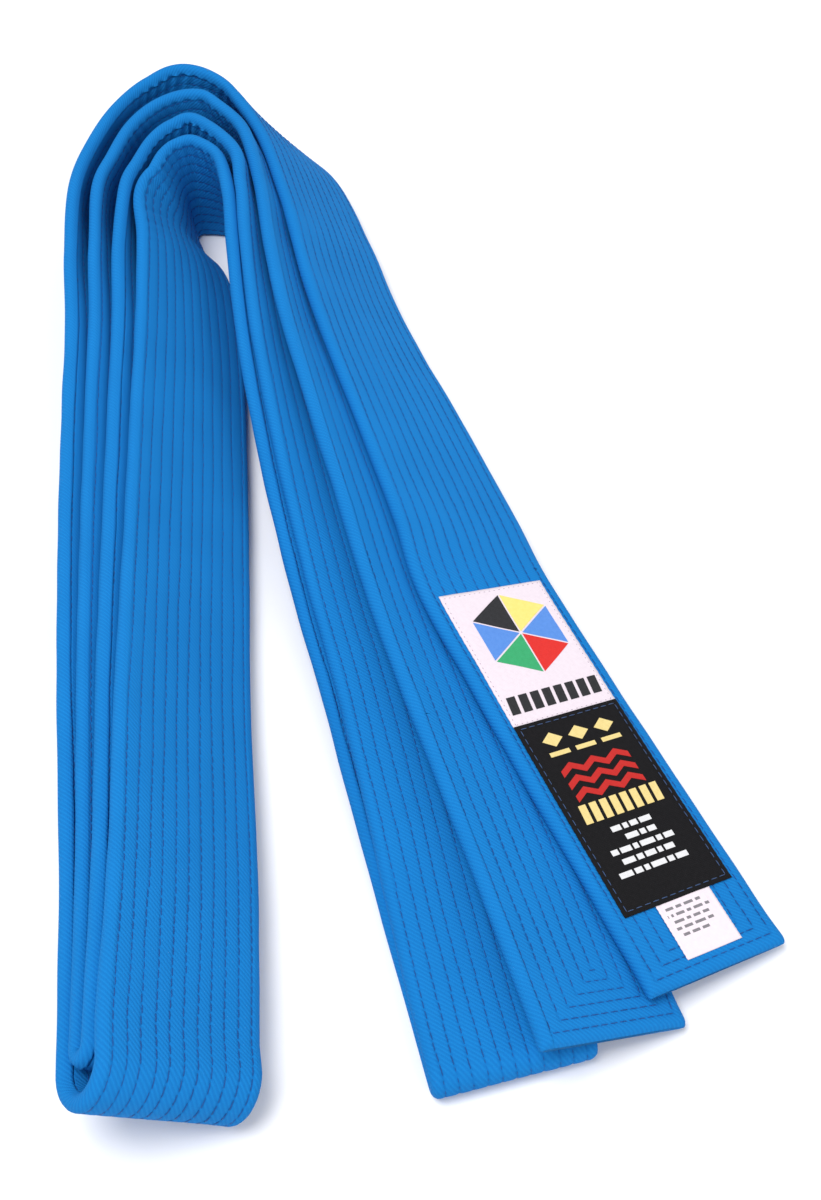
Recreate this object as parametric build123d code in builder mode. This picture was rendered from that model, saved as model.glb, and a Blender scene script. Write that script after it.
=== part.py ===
"""Martial arts belt, 40 mm wide, folded in four and laid in a bend.

The belt is one quilted strip: a twill cover wrapped round three cotton plies.
It is folded in half and in half again, and the four strips stand on edge in a
bend at the back and lie down towards the front. Millimetres, +Z up, the origin
is under the middle of the folded belt, on the surface it lies on.
"""
from build123d import *
import math
import os

# ---------------------------------------------------------------- driving sizes
BELT_WIDTH = 40.0
BELT_THICKNESS = 4.2
CLOTH = 0.6                 # cover cloth
SEAM_FROM_EDGE = 2.9        # where the wrapped cloth meets, in from the raised edge
SEAM_GAP = 0.2
PLY_THICKNESS = 0.94
PLY_SPACING = 0.98
PLY_CLEARANCE = 0.15        # ply edge to cloth
TUCK_LENGTH = 6.0           # cloth folded into each end
TUCK_CLEARANCE = 0.05       # folded-in cloth to cover, each face
ROUNDING = 0.001            # plies stop this much short of the last section
JOINT_GAP = 0.4             # between stretches of one strip on two moving bodies
OUTER_FOLD_LEAD = 8.0       # straight cloth before each fold's half turn
INNER_FOLD_LEAD = 4.0
RIGHT_FOLD_LEAD = 3.2

LABELLED_END = 126.0        # the labelled end lifts from this far back from its tip
PLAIN_END = 92.0            # the plain end lifts from this far back

LABEL_WIDTH = 32.0
LABEL_CLOTH = 0.35
BRAND_LIFT = 0.25           # its turned-under edge holds it off the cover
TAB_CLOTH = 0.2
APPROVAL_LABEL = (76.2, 120.0)   # near and far ends, from the labelled tip
BRAND_LABEL = (19.5, 76.0)
CARE_TAB = (19.7, 27.0)          # sewn under the brand label
CARE_FLAP = (4.6, 19.1)          # the free part
CARE_WIDTH = 16.0
CARE_OFFSET = -1.0               # from the middle of the belt, towards the low edge
CARE_FLOAT = 0.3                 # the free part lies this far off the cover

CENTRING = (2.13, 0.41)     # moves the belt so that its middle is over the origin

# ------------------------------------------------------------- how the belt lies
# Left leg, outermost strip, from the folds to the bend: centre x, y, z, roll of
# the strip in degrees, then the pitch and the sideways step to the next strip in.
LEFT_LEG = [
    (-53.3, -166, 12.2, 33, 4.5, 1.0),
    (-58.8, -124, 12.7, 35, 4.5, 2.0),
    (-66.5, -74, 13.1, 37, 4.5, 3.1),
    (-73.8, -20, 13.4, 38, 4.6, 4.3),
    (-79.2, 24, 14.2, 41, 4.9, 4.7),
    (-84.2, 58, 15.9, 50, 5.6, 4.4),
    (-91.5, 86, 18.2, 64, 6.9, 3.2),
]
# The bend, each strip up to its apex, outermost strip first: centre x, y, z, roll.
BEND = [
    [(-99, 113, 20.1, 84), (-98, 136, 20.1, 90), (-92, 156, 20.1, 90),
     (-83, 170.5, 20.1, 90), (-70.5, 178.6, 20.1, 90)],
    [(-91.5, 113, 20.1, 84), (-90.6, 129, 20.1, 90), (-86, 146, 20.1, 90),
     (-78, 158.5, 20.1, 90), (-67.5, 163.8, 20.1, 90)],
    [(-82.8, 113, 20.1, 84), (-82, 126, 20.1, 90), (-78.5, 138, 20.1, 90),
     (-72.5, 146.5, 20.1, 90), (-64.5, 149.6, 20.1, 90)],
    [(-76.6, 108, 19.8, 79), (-76.2, 120.5, 20.1, 88), (-74, 130.5, 20.1, 90),
     (-70, 136, 20.1, 90), (-64.2, 137.6, 20.1, 90)],
]
# Right leg, from the bend to the front: x and y of the strip's raised edge, its
# lean from the floor in degrees, and how far its low edge is off the floor.
RIGHT_OUTER = [
    (-57, 170, 64, 1.2), (-44.6, 149.5, 49, 3.5), (-34.7, 117.3, 44, 3.1),
    (-27, 84.5, 39, 2.5), (-19.2, 57, 34, 2.7), (-11, 32, 29, 3.1),
    (-3.4, 8, 25, 3.6), (3.5, -15, 21, 5.2), (9.7, -39.3, 15, 8.0),
    (22.7, -67.6, 14, 6.3), (36, -95.7, 12.5, 4.6), (49.6, -123.8, 11.3, 3.0),
    (63.2, -152, 9.5, 1.8),
]
RIGHT_SECOND = [
    (-60.5, 160.5, 80, 0.2), (-49.6, 146, 70, 0.7), (-42.8, 119.7, 61, 1.6),
    (-38, 90, 54, 1.7), (-32.5, 63, 47, 1.8), (-25.9, 38, 40, 2.4),
    (-19.5, 14.7, 34, 2.8), (-13.2, -7.6, 29.5, 3.2), (-7.4, -29.8, 26, 3.5),
    (-1.4, -50.4, 23.5, 3.8), (4.7, -69.6, 22, 3.7), (15.5, -102, 21, 3.1),
    (26.2, -134.6, 21, 2.2), (36.8, -167.3, 21, 1.4),
]
# Innermost strip, with the pitch and sideways step to the third strip over it.
RIGHT_INNER = [
    (-57, 131, 80, 0.2, 6.2, 0), (-52.8, 115, 69, 0.2, 4.9, 0.3),
    (-50.4, 94, 58, 0.2, 4.5, 1), (-47.8, 72.5, 49, 0.2, 4.5, 1.6),
    (-44.3, 49.5, 40, 0.2, 4.5, 2.2), (-39.5, 25.5, 31, 0.2, 4.5, 2.7),
    (-34.3, 2, 23.5, 0.2, 4.5, 3), (-28.8, -20, 17, 0.2, 4.5, 3.2),
    (-23.2, -41, 12, 0.2, 4.5, 3.3), (-17, -62, 8, 0.2, 4.5, 3.2),
    (-11.3, -83.5, 5, 0.2, 4.5, 3), (-5, -107, 2.5, 0.1, 4.5, 2.4),
    (1.2, -130, 0, -0.03, 4.5, 1.4), (6.7, -150.5, 0, -0.03, 4.5, 0.5),
    (10.9, -166.3, 0, -0.03, 4.5, 0),
]
APEX = len(LEFT_LEG) + len(BEND[0]) - 1     # station number of every strip's apex
# The innermost strip leans over further on its way into the bend: station, degrees.
INNERMOST_LEAN = [(3, 1), (4, 3), (5, 8), (6, 16), (7, 22), (8, 18), (9, 11), (10, 4)]


# ------------------------------------------------------------------ small vectors
def along(start, direction, distance):
    return tuple(a + distance * b for a, b in zip(start, direction))


def dot(a, b):
    return sum(p * q for p, q in zip(a, b))


def unit(a):
    length = math.sqrt(dot(a, a))
    return tuple(p / length for p in a)


def cross(a, b):
    return (
        a[1] * b[2] - a[2] * b[1],
        a[2] * b[0] - a[0] * b[2],
        a[0] * b[1] - a[1] * b[0],
    )


def across(heading, roll):
    """Direction from the low edge to the raised edge of a strip."""
    left = unit((-heading[1], heading[0], 0))
    angle = math.radians(roll)
    raised = along(tuple(math.cos(angle) * p for p in left), (0, 0, 1), math.sin(angle))
    return unit(along(raised, heading, -dot(raised, heading)))


# ---------------------------------------------------------------- strip stations
def heading_at(rows, i):
    before = rows[max(i - 1, 0)]
    after = rows[min(i + 1, len(rows) - 1)]
    return unit(tuple(q - p for p, q in zip(before[:3], after[:3])))


def stacked(rows, layers):
    """Stations of the strip this many layers in from the given rows."""
    stations = []
    for i, row in enumerate(rows):
        heading = heading_at(rows, i)
        raised = across(heading, row[3])
        inward = cross(heading, raised)
        centre = along(row[:3], inward, layers * row[4])
        centre = along(centre, raised, -abs(layers) * row[5])
        stations.append(centre + (row[3],))
    return stations


def leaning(rows):
    """Centre stations of a strip given by its raised edge, lean and lift."""
    stations = []
    for i, row in enumerate(rows):
        before = rows[max(i - 1, 0)]
        after = rows[min(i + 1, len(rows) - 1)]
        heading = unit((after[0] - before[0], after[1] - before[1], 0))
        raised = across(heading, 180 - row[2])
        half_flat = (BELT_WIDTH - BELT_THICKNESS) / 2
        height = BELT_THICKNESS / 2 + half_flat * math.sin(math.radians(row[2])) + row[3]
        centre = along(row[:2] + (0,), raised, -BELT_WIDTH / 2)
        stations.append((centre[0], centre[1], height, 180 - row[2]) + tuple(row[4:]))
    return stations


def leaned_over(stations, leans):
    """The same stations with some turned down about the strip's raised edge."""
    changed = list(stations)
    for i, degrees in leans:
        x, y, z, roll = stations[i]
        heading = heading_at(stations, i)
        edge = along((x, y, z), across(heading, roll), BELT_WIDTH / 2)
        centre = along(edge, across(heading, roll - degrees), -BELT_WIDTH / 2)
        changed[i] = centre + (roll - degrees,)
    return changed


def build_strips():
    inner = leaning(RIGHT_INNER)
    right = [
        leaning(RIGHT_OUTER),
        leaning(RIGHT_SECOND),
        stacked(inner, -1),
        [row[:4] for row in inner],
    ]
    strips = [stacked(LEFT_LEG, k) + BEND[k] + right[k] for k in range(4)]
    strips[3] = leaned_over(strips[3], INNERMOST_LEAN)
    shift_x, shift_y = CENTRING
    return [[(x + shift_x, y + shift_y, z, roll) for x, y, z, roll in rows] for rows in strips]


STRIPS = build_strips()


def frame_at(strip, place):
    """Centre, heading and raised-edge direction at a station number, whole or not."""
    stations = STRIPS[strip]
    last = len(stations) - 1
    i = min(int(place), last - 1)
    t = place - i
    p1, p2 = stations[i], stations[i + 1]
    p0 = stations[i - 1] if i > 0 else along(p1, [q - p for p, q in zip(p1, p2)], -1)
    p3 = stations[i + 2] if i + 2 <= last else along(p2, [q - p for p, q in zip(p1, p2)], 1)
    value = []
    slope = []
    for a, b, c, d in zip(p0, p1, p2, p3):
        k1, k2, k3 = c - a, 2 * a - 5 * b + 4 * c - d, 3 * b - a - 3 * c + d
        value.append(b + 0.5 * (k1 * t + k2 * t ** 2 + k3 * t ** 3))
        slope.append(0.5 * (k1 + 2 * k2 * t + 3 * k3 * t ** 2))
    heading = unit(slope[:3])
    return tuple(value[:3]), heading, across(heading, value[3])


def place_from_tip(strip, distance):
    """Station number this far, along the strip, from its right-hand end."""
    place = len(STRIPS[strip]) - 1.0
    step = 0.01
    here = frame_at(strip, place)[0]
    while distance > 0:
        place -= step
        there = frame_at(strip, place)[0]
        distance -= math.dist(here, there)
        here = there
    return place


# --------------------------------------------------------------------- sections
def leg_frames(strip, start, end, trim_start=0.0, trim_end=0.0, per_station=2):
    """Frames along a strip, a few to a station, in the direction start to end."""
    forward = 1 if end > start else -1
    count = math.ceil(abs(end - start) * per_station)
    on_grid = [math.floor(start * per_station) + forward * i for i in range(count + 2)]
    inner_places = [n / per_station for n in on_grid]
    margin = 0.4 / per_station
    low, high = min(start, end) + margin, max(start, end) - margin
    places = [start] + [p for p in inner_places if low < p < high] + [end]
    frames = []
    for place in places:
        centre, heading, raised = frame_at(strip, place)
        frames.append((centre, tuple(forward * h for h in heading), raised))
    frames[0] = (along(frames[0][0], frames[0][1], trim_start),) + frames[0][1:]
    frames[-1] = (along(frames[-1][0], frames[-1][1], -trim_end),) + frames[-1][1:]
    return frames


def fold_frames(before, after, lead, steps=6):
    """Frames round the half turn that joins the end of one leg to the next one."""
    centre, heading, raised = before
    offset = [q - p for p, q in zip(centre, after[0])]
    turn = cross(heading, raised)
    radius = dot(offset, turn) / 2
    slide = dot(offset, raised)
    frames = []
    for i in range(steps + 1):
        angle = math.pi * i / steps
        point = along(centre, heading, lead + abs(radius) * math.sin(angle))
        point = along(point, turn, radius * (1 - math.cos(angle)))
        point = along(point, raised, slide * i / steps)
        tangent = along([math.cos(angle) * h for h in heading], turn,
                        math.copysign(math.sin(angle), radius))
        frames.append((point, unit(tangent), raised))
    return frames


def plane_of(frame):
    centre, heading, raised = frame
    return Plane(origin=centre, x_dir=raised, z_dir=heading)


# ----------------------------------------------------------------------- pieces
# Cloth wrapped round the plies, open at the seam: a C with round edges.
outer = BELT_THICKNESS / 2
inner = outer - CLOTH
flat = (BELT_WIDTH - BELT_THICKNESS) / 2
seam = BELT_WIDTH / 2 - SEAM_FROM_EDGE
with BuildSketch() as cover_section:
    with BuildLine():
        Line((seam, -outer), (-flat, -outer))
        ThreePointArc((-flat, -outer), (-flat - outer, 0), (-flat, outer))
        Line((-flat, outer), (flat, outer))
        ThreePointArc((flat, outer), (flat + outer, 0), (flat, -outer))
        Line((flat, -outer), (seam + SEAM_GAP, -outer))
        Line((seam + SEAM_GAP, -outer), (seam + SEAM_GAP, -inner))
        Line((seam + SEAM_GAP, -inner), (flat, -inner))
        ThreePointArc((flat, -inner), (flat + inner, 0), (flat, inner))
        Line((flat, inner), (-flat, inner))
        ThreePointArc((-flat, inner), (-flat - inner, 0), (-flat, -inner))
        Line((-flat, -inner), (seam, -inner))
        Line((seam, -inner), (seam, -outer))
    make_face()


def ply_section(level):
    """One of the three cotton plies: level -1, 0 or 1, from the seam face up."""
    middle = level * PLY_SPACING
    reach = abs(middle) + PLY_THICKNESS / 2
    half = flat + math.sqrt(inner ** 2 - reach ** 2) - PLY_CLEARANCE
    with BuildSketch() as section:
        with Locations((0, middle)):
            Rectangle(2 * half, PLY_THICKNESS)
    return section


with BuildSketch() as tuck_section:
    SlotOverall(2 * (flat + inner - PLY_CLEARANCE), 2 * (inner - TUCK_CLEARANCE))


def save(label, solid):
    solid.label = label
    export_step(solid, f"parts/{label}.step")


def loft_piece(section, frames):
    with BuildPart() as piece:
        for frame in frames:
            with BuildSketch(plane_of(frame)):
                add(section.sketch)
        loft(ruled=True)
    return piece


def belt_stretch(name, frames):
    """A stretch of belt: its cover, flat where it meets the floor, and three plies."""
    cover = loft_piece(cover_section, frames)
    with BuildPart() as pressed:
        add(cover.part)
        split(bisect_by=Plane.XY, keep=Keep.TOP)
    save(f"{name}_cover", pressed.part)
    for number, level in enumerate((1, 0, -1), start=1):
        ply = loft_piece(ply_section(level), frames)
        save(f"{name}_ply_{number}", ply.part)


def frame_between(frames, distance):
    """The frame this far along a run of frames, between two of them."""
    for before, after in zip(frames, frames[1:]):
        step = math.dist(before[0], after[0])
        if distance <= step:
            break
        distance -= step
    share = distance / step
    return tuple(along(p, [b - a for a, b in zip(p, q)], share) for p, q in zip(before, after))


def cut_out(frames, near, far):
    """The run of frames between two distances along it."""
    travelled = 0
    kept = [frame_between(frames, near)]
    for before, after in zip(frames, frames[1:]):
        travelled += math.dist(before[0], after[0])
        if near < travelled < far:
            kept.append(after)
    return kept + [frame_between(frames, far)]


def closed_end(name, frames):
    """A stretch that starts at a tip of the belt, where the cover is tucked in."""
    cover = loft_piece(cover_section, frames)
    save(f"{name}_cover", cover.part)
    length = sum(math.dist(p[0], q[0]) for p, q in zip(frames, frames[1:]))
    inside = cut_out(frames, TUCK_LENGTH + PLY_CLEARANCE, length - ROUNDING)
    for number, level in enumerate((1, 0, -1), start=1):
        ply = loft_piece(ply_section(level), inside)
        save(f"{name}_ply_{number}", ply.part)
    tuck = loft_piece(tuck_section, cut_out(frames, 0, TUCK_LENGTH))
    save(f"{name}_tuck", tuck.part)


def sewn_label(name, frames, span, width, offset, base, cloth):
    """A label sewn to the face of an end, following it."""
    with BuildSketch() as section:
        with Locations((offset, outer + base + cloth / 2)):
            Rectangle(width, cloth)
    label = loft_piece(section, cut_out(frames, *span))
    save(name, label.part)


# ---------------------------------------------------------------------- the belt
def main():
    os.makedirs("parts", exist_ok=True)
    half_gap = JOINT_GAP / 2
    left_fold = 0
    right_fold = len(STRIPS[3]) - 1
    labelled_split = place_from_tip(0, LABELLED_END)
    plain_split = place_from_tip(1, PLAIN_END)

    # left leg: strips 1 and 4 are one piece round the outer fold, 2 and 3 inside it
    down = leg_frames(0, APEX, left_fold, trim_start=half_gap)
    up = leg_frames(3, left_fold, APEX, trim_end=half_gap)
    turn = fold_frames(down[-1], up[0], OUTER_FOLD_LEAD)
    belt_stretch("left_outer", down + turn + up)

    down = leg_frames(2, APEX, left_fold, trim_start=half_gap)
    up = leg_frames(1, left_fold, APEX, trim_end=half_gap)
    turn = fold_frames(down[-1], up[0], INNER_FOLD_LEAD)
    belt_stretch("left_inner", down + turn + up)

    # right leg: strips 4 and 3 are one piece round the right fold
    down = leg_frames(3, APEX, right_fold, trim_start=half_gap)
    up = leg_frames(2, right_fold, APEX, trim_end=half_gap)
    turn = fold_frames(down[-1], up[0], RIGHT_FOLD_LEAD)
    belt_stretch("right_fold", down + turn + up)

    belt_stretch("plain_strip", leg_frames(1, APEX, plain_split, half_gap, half_gap))
    belt_stretch("labelled_strip", leg_frames(0, labelled_split, APEX, half_gap, half_gap))

    closed_end("plain_end", leg_frames(1, len(STRIPS[1]) - 1, plain_split, 0, half_gap, 6))
    labelled = leg_frames(0, len(STRIPS[0]) - 1, labelled_split, 0, half_gap, 6)
    closed_end("labelled_end", labelled)

    sewn_label("approval_label", labelled, APPROVAL_LABEL, LABEL_WIDTH, 0, 0, LABEL_CLOTH)
    sewn_label("brand_label", labelled, BRAND_LABEL, LABEL_WIDTH, 0, BRAND_LIFT, LABEL_CLOTH)
    sewn_label("care_tab", labelled, CARE_TAB, CARE_WIDTH, CARE_OFFSET, 0, TAB_CLOTH)
    sewn_label("care_flap", labelled, CARE_FLAP, CARE_WIDTH, CARE_OFFSET, CARE_FLOAT, TAB_CLOTH)


main()
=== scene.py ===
"""Looks of a folded martial arts belt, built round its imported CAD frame.

The belt is followed as one long line, from its labelled tip to its plain tip.
Sizes are in millimetres until a mesh is made, where MM turns them into metres.
"""
import math

import bmesh
import bpy
import numpy as np
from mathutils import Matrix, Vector


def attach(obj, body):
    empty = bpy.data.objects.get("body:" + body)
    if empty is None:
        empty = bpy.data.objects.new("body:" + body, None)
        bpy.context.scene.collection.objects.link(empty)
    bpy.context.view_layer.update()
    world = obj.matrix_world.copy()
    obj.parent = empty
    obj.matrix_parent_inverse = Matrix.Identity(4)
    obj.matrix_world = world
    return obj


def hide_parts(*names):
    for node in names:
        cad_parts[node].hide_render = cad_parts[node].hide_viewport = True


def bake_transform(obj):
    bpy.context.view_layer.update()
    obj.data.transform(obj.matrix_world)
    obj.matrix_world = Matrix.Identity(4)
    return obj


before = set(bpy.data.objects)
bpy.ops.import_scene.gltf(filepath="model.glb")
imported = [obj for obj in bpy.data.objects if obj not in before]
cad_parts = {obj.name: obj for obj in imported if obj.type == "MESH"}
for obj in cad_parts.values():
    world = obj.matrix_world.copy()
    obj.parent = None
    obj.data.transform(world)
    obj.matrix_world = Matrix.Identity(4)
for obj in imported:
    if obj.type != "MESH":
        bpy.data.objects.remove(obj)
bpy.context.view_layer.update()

MM = 0.001
BELT_WIDTH = 40.0
BELT_THICKNESS = 4.2
HALF = BELT_THICKNESS / 2
FLAT = BELT_WIDTH / 2 - HALF         # the faces are flat out to here
OUTER_FOLD_LEAD = 8.0
INNER_FOLD_LEAD = 4.0
RIGHT_FOLD_LEAD = 3.2
LABELLED_END = 126.0
PLAIN_END = 92.0
CENTRING = (2.13, 0.41)

ROW_PITCH = 3.4
ROWS = 11
ROW_PLACES = [(i - (ROWS - 1) / 2) * ROW_PITCH for i in range(ROWS)]
STITCH_PITCH = 2.6
FIRST_TIP_ROW = 3.1                  # the outermost row turns this far from a tip
TIP_PITCH = 2.7                      # and each row further in turns this much sooner
SHORTEST_TURN = 1.2                  # half the length of the innermost turn
TIP_ZONE = 19.0                      # finer rings up to here, past all turned rows
SEAM = 17.05                         # where the wrapped cloth meets on the seam face
LIP = 0.22                           # its edge stands up this much
GROOVE = 0.11                        # a stitch row sinks this far, and at a needle hole
HOLE = 0.07                          # this much more
GROOVE_WIDTH = 0.3
SWELL = 0.05                         # the cloth swells this much between rows
SWELL_REACH = 1.7
PUFF = 0.045                         # gentle unevenness of the faces
PUCKER_RISE = 0.24                   # cloth squeezed inside a bend
PUCKER_WANDER = 0.5                  # and its lip, sideways
PUCKER_REACH = 34                    # along the belt, each side of a bend's apex

# ------------------------------------------------------------- how the belt lies
# The same stations as the CAD part. Left leg: centre, roll, pitch, sideways step.
LEFT_LEG = [
    (-53.3, -166, 12.2, 33, 4.5, 1.0),
    (-58.8, -124, 12.7, 35, 4.5, 2.0),
    (-66.5, -74, 13.1, 37, 4.5, 3.1),
    (-73.8, -20, 13.4, 38, 4.6, 4.3),
    (-79.2, 24, 14.2, 41, 4.9, 4.7),
    (-84.2, 58, 15.9, 50, 5.6, 4.4),
    (-91.5, 86, 18.2, 64, 6.9, 3.2),
]
BEND = [
    [(-99, 113, 20.1, 84), (-98, 136, 20.1, 90), (-92, 156, 20.1, 90),
     (-83, 170.5, 20.1, 90), (-70.5, 178.6, 20.1, 90)],
    [(-91.5, 113, 20.1, 84), (-90.6, 129, 20.1, 90), (-86, 146, 20.1, 90),
     (-78, 158.5, 20.1, 90), (-67.5, 163.8, 20.1, 90)],
    [(-82.8, 113, 20.1, 84), (-82, 126, 20.1, 90), (-78.5, 138, 20.1, 90),
     (-72.5, 146.5, 20.1, 90), (-64.5, 149.6, 20.1, 90)],
    [(-76.6, 108, 19.8, 79), (-76.2, 120.5, 20.1, 88), (-74, 130.5, 20.1, 90),
     (-70, 136, 20.1, 90), (-64.2, 137.6, 20.1, 90)],
]
# Right leg: x and y of the raised edge, lean from the floor, lift of the low edge.
RIGHT_OUTER = [
    (-57, 170, 64, 1.2), (-44.6, 149.5, 49, 3.5), (-34.7, 117.3, 44, 3.1),
    (-27, 84.5, 39, 2.5), (-19.2, 57, 34, 2.7), (-11, 32, 29, 3.1),
    (-3.4, 8, 25, 3.6), (3.5, -15, 21, 5.2), (9.7, -39.3, 15, 8.0),
    (22.7, -67.6, 14, 6.3), (36, -95.7, 12.5, 4.6), (49.6, -123.8, 11.3, 3.0),
    (63.2, -152, 9.5, 1.8),
]
RIGHT_SECOND = [
    (-60.5, 160.5, 80, 0.2), (-49.6, 146, 70, 0.7), (-42.8, 119.7, 61, 1.6),
    (-38, 90, 54, 1.7), (-32.5, 63, 47, 1.8), (-25.9, 38, 40, 2.4),
    (-19.5, 14.7, 34, 2.8), (-13.2, -7.6, 29.5, 3.2), (-7.4, -29.8, 26, 3.5),
    (-1.4, -50.4, 23.5, 3.8), (4.7, -69.6, 22, 3.7), (15.5, -102, 21, 3.1),
    (26.2, -134.6, 21, 2.2), (36.8, -167.3, 21, 1.4),
]
RIGHT_INNER = [
    (-57, 131, 80, 0.2, 6.2, 0), (-52.8, 115, 69, 0.2, 4.9, 0.3),
    (-50.4, 94, 58, 0.2, 4.5, 1), (-47.8, 72.5, 49, 0.2, 4.5, 1.6),
    (-44.3, 49.5, 40, 0.2, 4.5, 2.2), (-39.5, 25.5, 31, 0.2, 4.5, 2.7),
    (-34.3, 2, 23.5, 0.2, 4.5, 3), (-28.8, -20, 17, 0.2, 4.5, 3.2),
    (-23.2, -41, 12, 0.2, 4.5, 3.3), (-17, -62, 8, 0.2, 4.5, 3.2),
    (-11.3, -83.5, 5, 0.2, 4.5, 3), (-5, -107, 2.5, 0.1, 4.5, 2.4),
    (1.2, -130, 0, -0.03, 4.5, 1.4), (6.7, -150.5, 0, -0.03, 4.5, 0.5),
    (10.9, -166.3, 0, -0.03, 4.5, 0),
]
APEX = len(LEFT_LEG) + len(BEND[0]) - 1
INNERMOST_LEAN = [(3, 1), (4, 3), (5, 8), (6, 16), (7, 22), (8, 18), (9, 11), (10, 4)]
LEFT_CUT = len(LEFT_LEG)             # stations where the bending pieces start and end
RIGHT_CUT = APEX + 2.5


def unit(v):
    v = np.asarray(v, float)
    return v / np.linalg.norm(v)


def across(heading, roll):
    """Direction from the low edge to the raised edge of a strip."""
    left = unit((-heading[1], heading[0], 0))
    angle = math.radians(roll)
    raised = math.cos(angle) * left + math.sin(angle) * np.array((0, 0, 1.0))
    return unit(raised - heading * np.dot(raised, heading))


def heading_at(rows, i, axes=3):
    before = np.array(rows[max(i - 1, 0)][:axes], float)
    after = np.array(rows[min(i + 1, len(rows) - 1)][:axes], float)
    return unit(np.append(after - before, [0] * (3 - axes)))


def stacked(rows, layers):
    """Stations of the strip this many layers in from the given rows."""
    stations = []
    for i, row in enumerate(rows):
        heading = heading_at(rows, i)
        raised = across(heading, row[3])
        centre = np.array(row[:3]) + layers * row[4] * np.cross(heading, raised)
        centre = centre - abs(layers) * row[5] * raised
        stations.append((*centre, row[3]))
    return stations


def leaning(rows):
    """Centre stations of a strip given by its raised edge, lean and lift."""
    stations = []
    for i, row in enumerate(rows):
        raised = across(heading_at(rows, i, 2), 180 - row[2])
        height = HALF + FLAT * math.sin(math.radians(row[2])) + row[3]
        centre = np.array(row[:2]) - BELT_WIDTH / 2 * raised[:2]
        stations.append((*centre, height, 180 - row[2], *row[4:]))
    return stations


def leaned_over(stations, leans):
    """The same stations with some turned down about the strip's raised edge."""
    changed = list(stations)
    for i, degrees in leans:
        heading = heading_at(stations, i)
        roll = stations[i][3]
        edge = np.array(stations[i][:3]) + BELT_WIDTH / 2 * across(heading, roll)
        centre = edge - BELT_WIDTH / 2 * across(heading, roll - degrees)
        changed[i] = (*centre, roll - degrees)
    return changed


def build_strips():
    inner = leaning(RIGHT_INNER)
    right = [leaning(RIGHT_OUTER), leaning(RIGHT_SECOND), stacked(inner, -1),
             [row[:4] for row in inner]]
    strips = [stacked(LEFT_LEG, k) + BEND[k] + right[k] for k in range(4)]
    strips[3] = leaned_over(strips[3], INNERMOST_LEAN)
    shift = np.array((*CENTRING, 0, 0))
    return [np.array(rows) + shift for rows in strips]


STRIPS = build_strips()


def frame_at(strip, place):
    """Centre, heading and raised-edge direction at a station number, whole or not."""
    rows = STRIPS[strip]
    i = min(int(place), len(rows) - 2)
    t = place - i
    b, c = rows[i], rows[i + 1]
    a = rows[i - 1] if i > 0 else 2 * b - c
    d = rows[i + 2] if i + 2 < len(rows) else 2 * c - b
    k1, k2, k3 = c - a, 2 * a - 5 * b + 4 * c - d, 3 * b - a - 3 * c + d
    value = b + 0.5 * (k1 * t + k2 * t ** 2 + k3 * t ** 3)
    heading = unit((0.5 * (k1 + 2 * k2 * t + 3 * k3 * t ** 2))[:3])
    return value[:3], heading, across(heading, value[3])


# ------------------------------------------------- the whole belt as one long line
line_points, line_headings, line_raised, line_tags = [], [], [], []


def follow_strip(strip, backwards):
    last = len(STRIPS[strip]) - 1
    places = np.arange(0, last + 1e-6, 1 / 50)
    for place in places[::-1] if backwards else places:
        centre, heading, raised = frame_at(strip, place)
        line_points.append(centre)
        line_headings.append(-heading if backwards else heading)
        line_raised.append(raised)
        line_tags.append((strip, place))


def follow_fold(after, lead, steps=40):
    """Half a turn from the end of the line so far to the start of the next strip."""
    centre, heading, raised = line_points[-1], line_headings[-1], line_raised[-1]
    offset = after[0] - centre
    turn = np.cross(heading, raised)
    radius = np.dot(offset, turn) / 2
    slide = np.dot(offset, raised)
    for i in range(steps + 1):
        angle = math.pi * i / steps
        point = centre + heading * (lead + abs(radius) * math.sin(angle))
        point = point + turn * radius * (1 - math.cos(angle)) + raised * slide * i / steps
        way = heading * math.cos(angle) + turn * math.copysign(math.sin(angle), radius)
        line_points.append(point)
        line_headings.append(unit(way))
        line_raised.append(raised)
        line_tags.append((-1, 0))


follow_strip(0, True)
follow_fold(frame_at(3, 0), OUTER_FOLD_LEAD)
follow_strip(3, False)
follow_fold(frame_at(2, len(STRIPS[2]) - 1), RIGHT_FOLD_LEAD)
follow_strip(2, True)
follow_fold(frame_at(1, 0), INNER_FOLD_LEAD)
follow_strip(1, False)
LINE = np.array(line_points)
HEADINGS = np.array(line_headings)
RAISED = np.array(line_raised)
TAGS = np.array(line_tags)
GONE = np.concatenate([[0], np.cumsum(np.linalg.norm(np.diff(LINE, axis=0), axis=1))])
LENGTH = GONE[-1]


def distance_at(strip, place):
    """Distance along the belt, from the labelled tip, of a station of a strip."""
    here = TAGS[:, 0] == strip
    order = np.argsort(TAGS[here, 1])
    return float(np.interp(place, TAGS[here, 1][order], GONE[here][order]))


def sample(values, gone):
    return np.stack([np.interp(gone, GONE, values[:, i]) for i in range(3)], axis=-1)


def frames_along(gone):
    """Centres, headings, raised directions and face normals at distances along the belt."""
    gone = np.asarray(gone, float)
    centres, headings, raised = sample(LINE, gone), sample(HEADINGS, gone), sample(RAISED, gone)
    headings /= np.linalg.norm(headings, axis=-1, keepdims=True)
    raised -= headings * np.sum(raised * headings, axis=-1, keepdims=True)
    raised /= np.linalg.norm(raised, axis=-1, keepdims=True)
    return centres, headings, raised, np.cross(headings, raised)


APEXES = [distance_at(k, APEX) for k in range(4)]
INNER_FACE = [-1, 1, -1, 1]          # which face of each strip is inside the bend


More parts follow.
